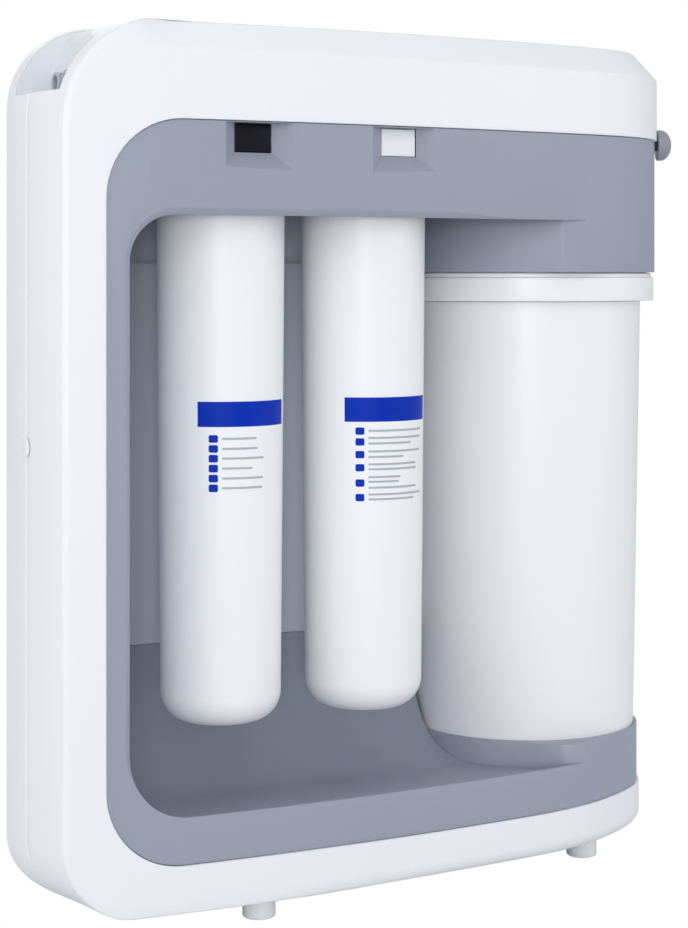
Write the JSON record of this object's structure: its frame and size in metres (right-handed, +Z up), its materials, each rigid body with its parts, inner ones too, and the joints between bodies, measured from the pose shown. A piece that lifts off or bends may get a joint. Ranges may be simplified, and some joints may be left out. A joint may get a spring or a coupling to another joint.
{
  "type": "under sink water filter",
  "caption": "Under sink reverse osmosis water filter with twist-out cartridges, push buttons and an upright round storage tank in one casing.",
  "frame": {"origin": "middle of the footprint, on the floor under the feet", "axes": "+Z up, -Y out of the front face, +X to the right seen from the front"},
  "size_m": [0.372, 0.19, 0.4226],
  "materials": {
    "white_plastic": "satin white moulded casing",
    "grey_plastic": "satin bluish grey",
    "dark_plastic": "plain black moulding",
    "black_plastic": "semi-gloss black",
    "tube_plastic": "translucent polyethylene",
    "collet_grey": "grey",
    "tank_white": "satin white",
    "cartridge_white": "satin white",
    "bag_rubber": "butyl bag",
    "seal_rubber": "black",
    "foot_rubber": "white, matte",
    "spring_steel": "bright steel",
    "carbon_block": "pressed carbon block",
    "membrane_wrap": "wound membrane in its wrap"
  },
  "bodies": {
    "casing": {"front_shell": "white_plastic", "rear_shell": "white_plastic", "inner_frame": "grey_plastic", "floor_tray": "grey_plastic", "bay_liner": "grey_plastic", "connection_panel": "white_plastic", "manifold": "dark_plastic", "port_block": "dark_plastic", "check_valve": "dark_plastic", "flow_restrictor": "white_plastic", "shutoff_valve": "dark_plastic", "tap_tube": "tube_plastic", "inlet_tube": "tube_plastic", "drain_tube": "tube_plastic", "tank_tube": "tube_plastic", "mixing_valve": "dark_plastic", "tank_body": "tank_white", "tank_head": "tank_white", "tank_bag": "bag_rubber", "tank_seal": "seal_rubber", "foot_front_left": "foot_rubber", "foot_front_right": "foot_rubber", "foot_rear_left": "foot_rubber", "foot_rear_right": "foot_rubber", "casing_screw_lower_left": "spring_steel", "casing_screw_lower_right": "spring_steel", "casing_screw_upper_left": "spring_steel", "casing_screw_upper_right": "spring_steel", "side_plug": "white_plastic", "prefilter_spring": "spring_steel", "postfilter_spring": "spring_steel", "membrane_spring": "spring_steel"},
    "mixing_control": {"mixing_knob": "grey_plastic", "mixing_stem": "dark_plastic"},
    "tap_release": {"tap_collet": "collet_grey"},
    "inlet_release": {"inlet_collet": "collet_grey"},
    "drain_release": {"drain_collet": "collet_grey"},
    "prefilter_cartridge": {"prefilter_housing": "cartridge_white", "prefilter_cap": "cartridge_white", "prefilter_core": "carbon_block", "prefilter_seal": "seal_rubber"},
    "prefilter_catch_slide": {"prefilter_button": "black_plastic", "prefilter_catch": "dark_plastic"},
    "postfilter_cartridge": {"postfilter_housing": "cartridge_white", "postfilter_cap": "cartridge_white", "postfilter_core": "carbon_block", "postfilter_seal": "seal_rubber"},
    "postfilter_catch_slide": {"postfilter_button": "white_plastic", "postfilter_catch": "dark_plastic"},
    "membrane_cartridge": {"membrane_housing": "cartridge_white", "membrane_cap": "cartridge_white", "membrane_core": "membrane_wrap", "membrane_seal": "seal_rubber"},
    "membrane_catch_slide": {"membrane_button": "black_plastic", "membrane_catch": "dark_plastic"}
  },
  "joints": [
    {"name": "prefilter_turn", "type": "hinge", "parent": "casing", "child": "prefilter_cartridge", "pos_m": [-0.0864, -0.05, 0.3356], "axis": [0, 0, 1], "range_deg": [-45, 0]},
    {"name": "prefilter_button_press", "type": "slide", "parent": "casing", "child": "prefilter_catch_slide", "axis": [0, 1, 0], "range_m": [0, 0.0035], "stiffness_N_per_m": 600, "springref_m": -0.004, "deforming": ["prefilter_spring"]},
    {"name": "postfilter_turn", "type": "hinge", "parent": "casing", "child": "postfilter_cartridge", "pos_m": [-0.0078, -0.05, 0.3356], "axis": [0, 0, 1], "range_deg": [-45, 0]},
    {"name": "postfilter_button_press", "type": "slide", "parent": "casing", "child": "postfilter_catch_slide", "axis": [0, 1, 0], "range_m": [0, 0.0035], "stiffness_N_per_m": 600, "springref_m": -0.004, "deforming": ["postfilter_spring"]},
    {"name": "membrane_turn", "type": "hinge", "parent": "casing", "child": "membrane_cartridge", "pos_m": [-0.0471, 0.05, 0.3356], "axis": [0, 0, 1], "range_deg": [-45, 0]},
    {"name": "membrane_button_press", "type": "slide", "parent": "casing", "child": "membrane_catch_slide", "axis": [0, -1, 0], "range_m": [0, 0.0035], "stiffness_N_per_m": 600, "springref_m": -0.004, "deforming": ["membrane_spring"]},
    {"name": "mixing_knob_turn", "type": "hinge", "parent": "casing", "child": "mixing_control", "pos_m": [0.1774, -0.0432, 0.3746], "axis": [0.8829, -0.4695, 0], "range_deg": [-90, 90]},
    {"name": "tap_collet_press", "type": "slide", "parent": "casing", "child": "tap_release", "axis": [1, 0, 0], "range_m": [0, 0.001], "stiffness_N_per_m": 800, "springref_m": -0.0005},
    {"name": "inlet_collet_press", "type": "slide", "parent": "casing", "child": "inlet_release", "axis": [1, 0, 0], "range_m": [0, 0.001], "stiffness_N_per_m": 800, "springref_m": -0.0005},
    {"name": "drain_collet_press", "type": "slide", "parent": "casing", "child": "drain_release", "axis": [1, 0, 0], "range_m": [0, 0.001], "stiffness_N_per_m": 800, "springref_m": -0.0005}
  ]
}
